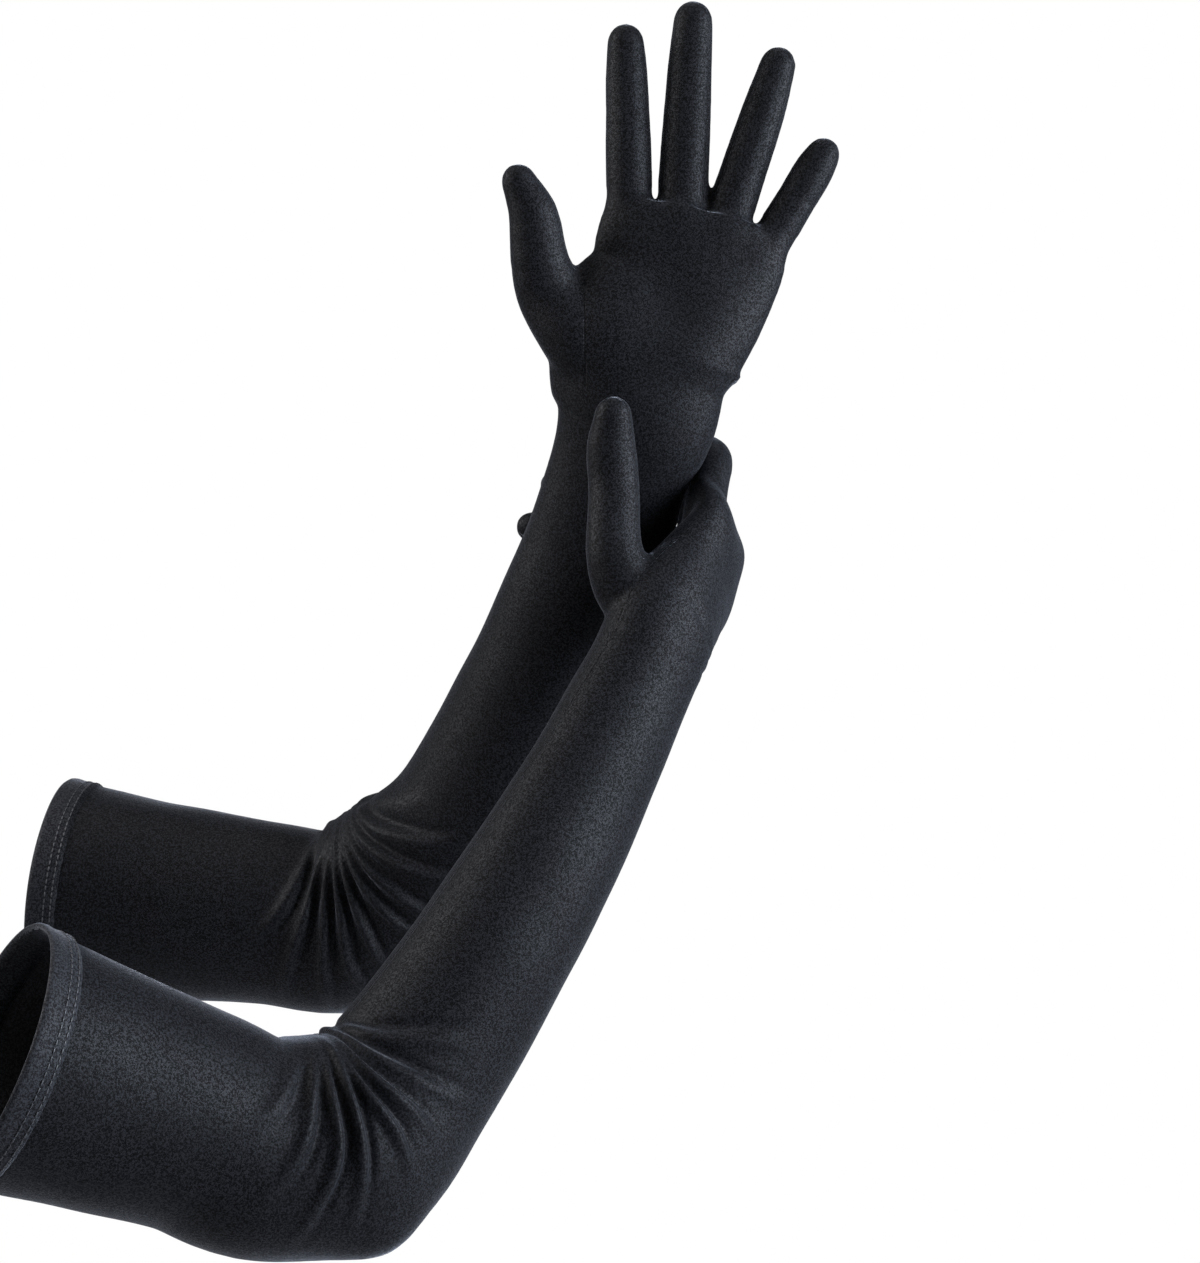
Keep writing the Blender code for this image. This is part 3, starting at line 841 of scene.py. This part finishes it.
def ramp(tree, value, lo, hi):
    node = tree.nodes.new("ShaderNodeMapRange")
    node.interpolation_type = "SMOOTHSTEP"
    tree.links.new(value, node.inputs["Value"])
    node.inputs["From Min"].default_value, node.inputs["From Max"].default_value = lo, hi
    return node.outputs["Result"]


# %% The grain of satin: sparks, weave and slow unevenness
def satin_grain_group():
    group, inp, out = new_group(
        "satin_grain", [("Spark Scale", 2600), ("Weave Scale", 4200), ("Cloud Scale", 30)],
        ["Sparks", "Clouds", "Height"])
    where = group.nodes.new("ShaderNodeTexCoord").outputs["Object"]
    fine = noise_node(group, where, inp.outputs["Spark Scale"], 2.0, 0.6)
    coarse = noise_node(group, where, math_node(group, "MULTIPLY", inp.outputs["Spark Scale"], 0.5),
                        1.0, 0.5)
    weave = noise_node(group, where, inp.outputs["Weave Scale"], 1.0, 0.5)
    clouds = noise_node(group, where, inp.outputs["Cloud Scale"], 3.0, 0.55)
    sparks = math_node(group, "MULTIPLY_ADD", coarse, 0.5, math_node(group, "MULTIPLY", fine, 0.5))
    group.links.new(ramp(group, sparks, 0.42, 0.60), out.inputs["Sparks"])
    group.links.new(ramp(group, clouds, 0.30, 0.70), out.inputs["Clouds"])
    height = math_node(group, "MULTIPLY_ADD", weave, 0.5, math_node(group, "MULTIPLY", sparks, 0.5))
    group.links.new(height, out.inputs["Height"])
    return group


SATIN_GRAIN = satin_grain_group()


# %% A seam: a valley between two lips with painted shade in it, and tiny puckers along it
def seam_group():
    group, inp, out = new_group("glove_seam", [("Width", 0.0009), ("Pitch", 0.0024)],
                                ["Line", "Height"])

    def read(name):
        node = group.nodes.new("ShaderNodeAttribute")
        node.attribute_name = name
        return node.outputs["Fac"]

    away = math_node(group, "DIVIDE", read("seam_distance"), inp.outputs["Width"])
    valley = math_node(group, "SUBTRACT", 1.0, ramp(group, away, 0.10, 0.75))
    lips = math_node(group, "SUBTRACT", ramp(group, away, 0.3, 1.0), ramp(group, away, 1.1, 2.6))
    turns = math_node(group, "DIVIDE", read("seam_run"), inp.outputs["Pitch"])
    wave = math_node(group, "SINE", math_node(group, "MULTIPLY", turns, 2 * math.pi))
    pucker = math_node(group, "MULTIPLY", math_node(group, "MULTIPLY_ADD", wave, 0.35, 0.65), lips)
    # the Line output is painted shade: it darkens the colour in the seam's valley
    group.links.new(valley, out.inputs["Line"])
    group.links.new(math_node(group, "SUBTRACT", math_node(group, "MULTIPLY", pucker, 0.5), valley),
                    out.inputs["Height"])
    return group


GLOVE_SEAM = seam_group()


# %% The cloth material, mixed from those two
GRAIN_DEEP, SEAM_DEEP = 0.00020, 0.00022       # metres
NAP_TINT = (0.60, 0.64, 0.74, 1)


def mix_colour(tree, factor, a, b):
    node = tree.nodes.new("ShaderNodeMix")
    node.data_type = "RGBA"
    tree.links.new(factor, node.inputs["Factor"])
    for k, value in ((6, a), (7, b)):
        if hasattr(value, "is_linked"):
            tree.links.new(value, node.inputs[k])
        else:
            node.inputs[k].default_value = (*value, 1.0)
    return node.outputs[2]


def cloth(name, dark, light, seam_strength=1.0, rough=(0.42, 0.66), sheen=0.40, specular=0.06,
          bump=0.80, spark_scale=2200):
    mat = bpy.data.materials.new(name)
    mat.use_nodes = True
    tree = mat.node_tree
    shader = tree.nodes["Principled BSDF"]
    grain = tree.nodes.new("ShaderNodeGroup")
    grain.node_tree = SATIN_GRAIN
    grain.inputs["Spark Scale"].default_value = spark_scale
    cloudy = mix_colour(tree, grain.outputs["Clouds"], tuple(c * 0.86 for c in light), light)
    colour = mix_colour(tree, grain.outputs["Sparks"], dark, cloudy)
    height = math_node(tree, "MULTIPLY", grain.outputs["Height"], GRAIN_DEEP)
    if seam_strength:
        seam = tree.nodes.new("ShaderNodeGroup")
        seam.node_tree = GLOVE_SEAM
        # painted shade: the colour goes near black along the seam's groove
        line = math_node(tree, "MULTIPLY", seam.outputs["Line"], 0.85 * seam_strength)
        colour = mix_colour(tree, line, colour, tuple(c * 0.15 for c in dark))
        height = math_node(tree, "MULTIPLY_ADD", seam.outputs["Height"],
                           SEAM_DEEP * seam_strength, height)
    tree.links.new(colour, shader.inputs["Base Color"])
    roughness = tree.nodes.new("ShaderNodeMapRange")
    tree.links.new(grain.outputs["Sparks"], roughness.inputs["Value"])
    roughness.inputs["To Min"].default_value = rough[1]
    roughness.inputs["To Max"].default_value = rough[0]
    tree.links.new(roughness.outputs["Result"], shader.inputs["Roughness"])
    relief = tree.nodes.new("ShaderNodeBump")
    relief.inputs["Strength"].default_value = bump
    relief.inputs["Distance"].default_value = 1.0
    tree.links.new(height, relief.inputs["Height"])
    tree.links.new(relief.outputs["Normal"], shader.inputs["Normal"])
    shader.inputs["Specular IOR Level"].default_value = specular
    shader.inputs["Sheen Weight"].default_value = sheen
    shader.inputs["Sheen Roughness"].default_value = 0.25
    shader.inputs["Sheen Tint"].default_value = NAP_TINT
    mat.diffuse_color = (*light, 1)
    return mat


BLACK, CHARCOAL = (0.0006, 0.0006, 0.0008), (0.0115, 0.0119, 0.0142)
satin = cloth("satin", BLACK, CHARCOAL)
satin_inside = cloth("satin_inside", (0.006, 0.006, 0.007), (0.020, 0.020, 0.022), 0.0,
                     (0.75, 0.85), 0.10, 0.15)
hem_satin = cloth("hem_satin", (0.005, 0.005, 0.006), (0.024, 0.025, 0.029), 0.0)
thread = cloth("sewing_thread", (0.012, 0.012, 0.014), (0.045, 0.046, 0.052), 0.0, (0.42, 0.55),
               0.1, 0.4, 0.4, 5200)
print("materials:", [m.name for m in bpy.data.materials])

# %% [markdown]
# ## Giving the skin its thickness
# The cloth is about half a millimetre thick. Solidify grows it inward, so the outside stays where
# it is. The inside gets a duller satin, which shows at the cuffs.
# %% One finished skin piece
CLOTH_THICK = 0.0006


def finished_piece(name, source, number):
    bm = bmesh.new()
    bm.from_mesh(source)
    layer = bm.faces.layers.int["piece"]
    bmesh.ops.delete(bm, geom=[f for f in bm.faces if f[layer] != number], context="FACES")
    bmesh.ops.remove_doubles(bm, verts=bm.verts, dist=1e-7)
    mesh = mesh_from(bm, name)
    outer_faces = len(mesh.polygons)
    area = sum(p.area for p in mesh.polygons)
    obj = add_object(name, mesh)
    mesh.materials.append(satin)
    mesh.materials.append(satin_inside)
    mod = obj.modifiers.new("thickness", "SOLIDIFY")
    mod.thickness, mod.offset = CLOTH_THICK, -1
    mod.material_offset = 1
    mod.material_offset_rim = 0
    graph = bpy.context.evaluated_depsgraph_get()
    solid = bpy.data.meshes.new_from_object(obj.evaluated_get(graph))
    obj.modifiers.clear()
    obj.data = solid
    solid.name = name
    kept = np.empty(len(solid.vertices) * 3, np.float32)
    solid.attributes["skin_normal"].data.foreach_get("vector", kept)
    kept = kept.reshape(-1, 3)
    loop_vert = np.empty(len(solid.loops), np.int32)
    solid.loops.foreach_get("vertex_index", loop_vert)
    total = np.empty(len(solid.polygons), np.int32)
    solid.polygons.foreach_get("loop_total", total)
    face = np.repeat(np.arange(len(total)), total)
    sign = np.where(face < outer_faces, 1.0, np.where(face < 2 * outer_faces, -1.0, 0.0))
    solid.shade_smooth()
    solid.normals_split_custom_set((kept[loop_vert] * sign[:, None]).tolist())
    solid.attributes.remove(solid.attributes["skin_normal"])
    return obj, area


def flat_size(side, name, area):
    """The flat pattern: the tube slit and opened, a little smaller because it is worn stretched."""
    line = lines[side]["arm" if name in ("sleeve", "hand") else name.rsplit("_", 1)[0]]
    if name == "sleeve":
        lo, hi = 0, line.at_t(SLEEVE_END_AT)
    elif name == "hand":
        lo, hi = line.at_t(SLEEVE_END_AT), len(line.t) - 1
    else:
        root, mid = ZONES[side][name.rsplit("_", 1)[0]][:2]
        lo, hi = ((line.at_arc(root), line.at_arc(mid)) if name.endswith("root")
                  else (line.at_arc(mid), len(line.t) - 1))
    a, b = line.a[lo:hi + 1], line.b[lo:hi + 1]
    around = float((math.pi * (3 * (a + b) - np.sqrt((3 * a + b) * (a + 3 * b)))).max())
    length = float(line.arc[hi] - line.arc[lo]) + (float(a[-1]) if name.endswith("end") else 0)
    width, length = round(around / STRETCH, 3), round(max(length * 1.01, SHORTEST), 3)
    return (width, length), round(min(area / STRETCH, width * length), 5)


STRETCH, SHORTEST = 1.08, 0.010
pieces, flats = {}, {}
for side in skins:
    for number, name in enumerate(piece_names[side], 1):
        obj, area = finished_piece(f"{side}_{name}_skin", skins[side], number)
        pieces[side, name] = obj
        flats[side, name] = flat, cut = flat_size(side, name, area)
        print(obj.name, len(obj.data.polygons), "faces, flat", flat, "cut area", cut)

# %% [markdown]
# ## Settling the pieces
# Each piece's place is baked into its points, and the frame's own cloth parts that the skin
# stands in for are hidden.
# %% Baking each piece in place and hiding the parts it stands in for
ELBOW_BEND, WRIST_BEND, CUT_MARGIN = 0.034, 0.020, 0.0003


def line_point(side, name, arc):
    line = lines[side][name]
    return Vector(line.c[line.at_arc(arc)])


for side in skins:
    arm = lines[side]["arm"]
    corner_arc, wrist_arc = arm.arc[arm.at_t(ELBOW_AT)], arm.arc[arm.at_t(WRIST_AT)]
    elbow = [line_point(side, "arm", corner_arc + d) for d in (-ELBOW_BEND, ELBOW_BEND)]
    wrist = [line_point(side, "arm", wrist_arc + d) for d in (-WRIST_BEND, WRIST_BEND)]
    sleeve, hand = pieces[side, "sleeve"], pieces[side, "hand"]
    if side == "left":
        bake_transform(sleeve)
        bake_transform(hand)
    else:
        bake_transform(sleeve)
        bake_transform(hand)
    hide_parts(f"{side}_upper_sleeve_back", f"{side}_upper_sleeve_palm",
                f"{side}_forearm_back", f"{side}_forearm_palm")
    gussets = [f"{side}_gusset_{a}_{b}" for a, b in zip(FINGERS, FINGERS[1:])]
    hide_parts(f"{side}_hand_back", f"{side}_hand_palm", *gussets)
    for name in all_of(side):
        root, mid, joint, far = ZONES[side][name]
        near_piece, far_piece = pieces[side, f"{name}_root"], pieces[side, f"{name}_end"]
        line_point(side, name, root + CUT_MARGIN)
        line_point(side, name, mid - CUT_MARGIN)
        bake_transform(near_piece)
        line_point(side, name, mid + CUT_MARGIN)
        line_point(side, name, far)
        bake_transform(far_piece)
        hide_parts(f"{side}_{name}_base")
        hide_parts(f"{side}_{name}_tip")

# %% [markdown]
# ## The hem
# The open end is folded under and sewn with two needles side by side. The fold is a soft roll,
# then a flat band, then a dark groove where the stitches pull it in.
# %% Bands along the cuff
def ring_at(side, arc, out):
    """A matrix that turns a unit circle into the cuff's section at a place, moved outward."""
    line = lines[side]["arm"]
    f = np.interp(arc, line.arc, np.arange(len(line.arc)))
    k0 = int(max(0, min(f, len(line.arc) - 2)))
    g = f - k0

    def at(values):
        return values[k0] * (1 - g) + values[k0 + 1] * g

    along, side_way, depth = at(line.along), at(line.side), at(line.depth)
    c = at(line.c) + along * min(arc, 0)
    cols = np.column_stack([side_way * (at(line.a) + out), depth * (at(line.b) + out),
                            along * 0.01, c])
    return Matrix([list(r) for r in cols] + [[0, 0, 0, 1]])


def band(name, side, profile, segments=160):
    """A closed band round the cuff; profile is (distance from the edge, distance outward)."""
    bm = bmesh.new()
    first, last = extruded_rings(bm, [ring_at(side, arc, out) for arc, out in profile],
                                 segments, False)
    bmesh.ops.bridge_loops(bm, edges=first + last)
    bmesh.ops.recalc_face_normals(bm, faces=bm.faces)
    mesh = mesh_from(bm, name)
    mesh.shade_smooth()
    return add_object(name, mesh)


HEM_DEEP = 0.0125
hem_profile = [(HEM_DEEP, -0.0013), (0.0090, -0.0015), (0.0030, -0.0014), (0.0008, -0.0011),
               (-0.0002, -0.0004), (-0.0003, 0.0003), (0.0006, 0.0010), (0.0020, 0.0012),
               (0.0050, 0.0009), (0.0085, 0.0009), (0.0105, 0.0010), (0.0115, 0.0007),
               (HEM_DEEP, 0.0001), (HEM_DEEP + 0.0004, -0.0004)]


def puckered(obj, side, tall):
    """Small gathers where the stitches pull the fold."""
    line = lines[side]["arm"]
    points = points_of(obj.data)
    k, u, v = line.locate(points)
    turn = np.arctan2(v, u)
    off_edge = (points - line.c[0]) @ line.along[0]
    grow = soft_step(off_edge, 0.001, 0.009)
    wave = (np.sin(turn * 53) + 0.7 * np.sin(turn * 31 + 1.3) + 0.5 * np.sin(turn * 83 + 0.4)) / 2.2
    slow = np.sin(turn * 3 + 0.6) * 0.5 + np.sin(turn * 7 + 2.0) * 0.3
    outward = points - line.c[k]
    outward /= np.linalg.norm(outward, axis=1, keepdims=True)
    points = points + outward * (wave * tall * grow + slow * 0.0003 * (1 - grow))[:, None]
    obj.data.vertices.foreach_set("co", points.astype(np.float32).ravel())
    obj.data.update()


# %% Stitches, each a small bead of thread laid on the hem
def stitch_row(name, side, arc, out, pitch=0.0028):
    line = lines[side]["arm"]
    k = line.at_arc(arc)
    a, b = line.a[k] + out, line.b[k] + out
    count = int(2 * math.pi * math.sqrt((a * a + b * b) / 2) / pitch)
    frame_at = ring_at(side, arc, out)
    bm = bmesh.new()
    for i in range(count):
        g = 2 * math.pi * i / count
        at = frame_at @ Vector((math.cos(g), math.sin(g), 0))
        ahead = frame_at @ Vector((math.cos(g + 0.01), math.sin(g + 0.01), 0))
        x = (ahead - at).normalized()
        y = Vector(line.along[k])
        z = x.cross(y).normalized()
        y = z.cross(x)
        turn = Matrix((x, y, z)).transposed().to_4x4()
        size = Matrix.Diagonal((pitch * 0.40, 0.00034, 0.00026, 1))
        bmesh.ops.create_uvsphere(bm, u_segments=7, v_segments=6, radius=1,
                                  matrix=Matrix.Translation(at) @ turn @ size
                                  @ Matrix.Rotation(math.pi / 2, 4, "Y"))
    mesh = mesh_from(bm, name)
    mesh.shade_smooth()
    mesh.materials.append(thread)
    print(name, count, "stitches")
    return add_object(name, mesh)


for side in skins:
    body = f"{side}_upper_arm"
    hem = band(f"{side}_hem", side, hem_profile)
    puckered(hem, side, 0.00022)
    hem.data.materials.append(hem_satin)
    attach(hem, body)
    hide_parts(f"{side}_hem_band")
    for label, arc, out in (("outer", 0.0078, 0.00105), ("inner", 0.0108, 0.00110)):
        row = stitch_row(f"{side}_hem_stitches_{label}", side, arc, out)
        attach(row, body)
        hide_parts(f"{side}_hem_stitch_{label}")
    for name in piece_names[side]:
        flat, cut = flats[side, name]

# %% [markdown]
# ## Floor, light and camera
# A pale floor and broad soft lights from the right, the left and above. The nap lights up where
# the cloth turns away from the eye, so the lights stand at the sides and hardly any light comes
# from the front, which leaves the middle of the palm dark. Black cloth on white needs little
# light from the room itself, or its edges turn grey, so the room is bright to the eye but sheds
# only a little light. One helper does that for the floor and for the room.
# %% Floor and room
FLOOR_DROP = 0.17                              # low enough for an arm that straightens
floor_bm = bmesh.new()
bmesh.ops.create_grid(floor_bm, x_segments=1, y_segments=1, size=12,
                      matrix=Matrix.Translation((0.25, 0, cad_low[2] - FLOOR_DROP)))
floor_mesh = mesh_from(floor_bm, "floor")
floor = add_object("floor", floor_mesh)
floor_paint = bpy.data.materials.new("pale_floor")
floor_paint.use_nodes = True
floor_shader = floor_paint.node_tree.nodes["Principled BSDF"]
floor_shader.inputs["Base Color"].default_value = (0.35, 0.35, 0.36, 1)
floor_shader.inputs["Roughness"].default_value = 0.9
floor_shader.inputs["Specular IOR Level"].default_value = 0.1


def white_to_the_eye(tree, plain, white_kind, output):
    """The camera sees plain white; everything else gets the plain shader's light."""
    white = tree.nodes.new(white_kind)
    white.inputs["Color"].default_value = (1, 1, 1, 1)
    white.inputs["Strength"].default_value = 1.0
    eye, either = tree.nodes.new("ShaderNodeLightPath"), tree.nodes.new("ShaderNodeMixShader")
    tree.links.new(eye.outputs["Is Camera Ray"], either.inputs["Fac"])
    tree.links.new(plain.outputs[0], either.inputs[1])
    tree.links.new(white.outputs[0], either.inputs[2])
    tree.links.new(either.outputs[0], tree.nodes[output].inputs["Surface"])


white_to_the_eye(floor_paint.node_tree, floor_shader, "ShaderNodeEmission", "Material Output")
floor_mesh.materials.append(floor_paint)

world = bpy.data.worlds.new("room")
bpy.context.scene.world = world
world.use_nodes = True
dim = world.node_tree.nodes["Background"]
dim.inputs["Color"].default_value = (0.95, 0.97, 1.0, 1)
dim.inputs["Strength"].default_value = 0.10
white_to_the_eye(world.node_tree, dim, "ShaderNodeBackground", "World Output")


# %% Lights and camera
def soft_light(name, at, aim, size, power, colour=(1, 1, 1)):
    light = bpy.data.lights.new(name, "AREA")
    light.shape, light.size, light.size_y = "RECTANGLE", size, size
    light.energy, light.color = power, colour
    obj = add_object(name, light)
    obj.location = at
    obj.rotation_euler = (Vector(aim) - Vector(at)).to_track_quat("-Z", "Y").to_euler()


CENTRE = (0.2514, -0.1123, 0.1117)
soft_light("key", (-0.25, -1.75, 1.15), CENTRE, 0.9, 2)
soft_light("right", (1.45, -0.50, 0.35), CENTRE, 0.9, 66, (0.82, 0.90, 1.0))
soft_light("left", (-1.00, -0.25, 0.75), CENTRE, 0.9, 34, (0.98, 0.98, 1.0))
soft_light("overhead", (0.1, -0.2, 2.0), CENTRE, 1.6, 16)

camera_data = bpy.data.cameras.new("camera")
camera_data.lens, camera_data.sensor_width = 75.25, 36.0
camera_data.sensor_fit = "AUTO"
camera = add_object("camera", camera_data)
camera.location = (0.2514, -1.2123, 0.1117)
camera.rotation_euler = (math.radians(90), 0, 0)
bpy.context.scene.camera = camera
bpy.context.scene.view_settings.view_transform = "Standard"
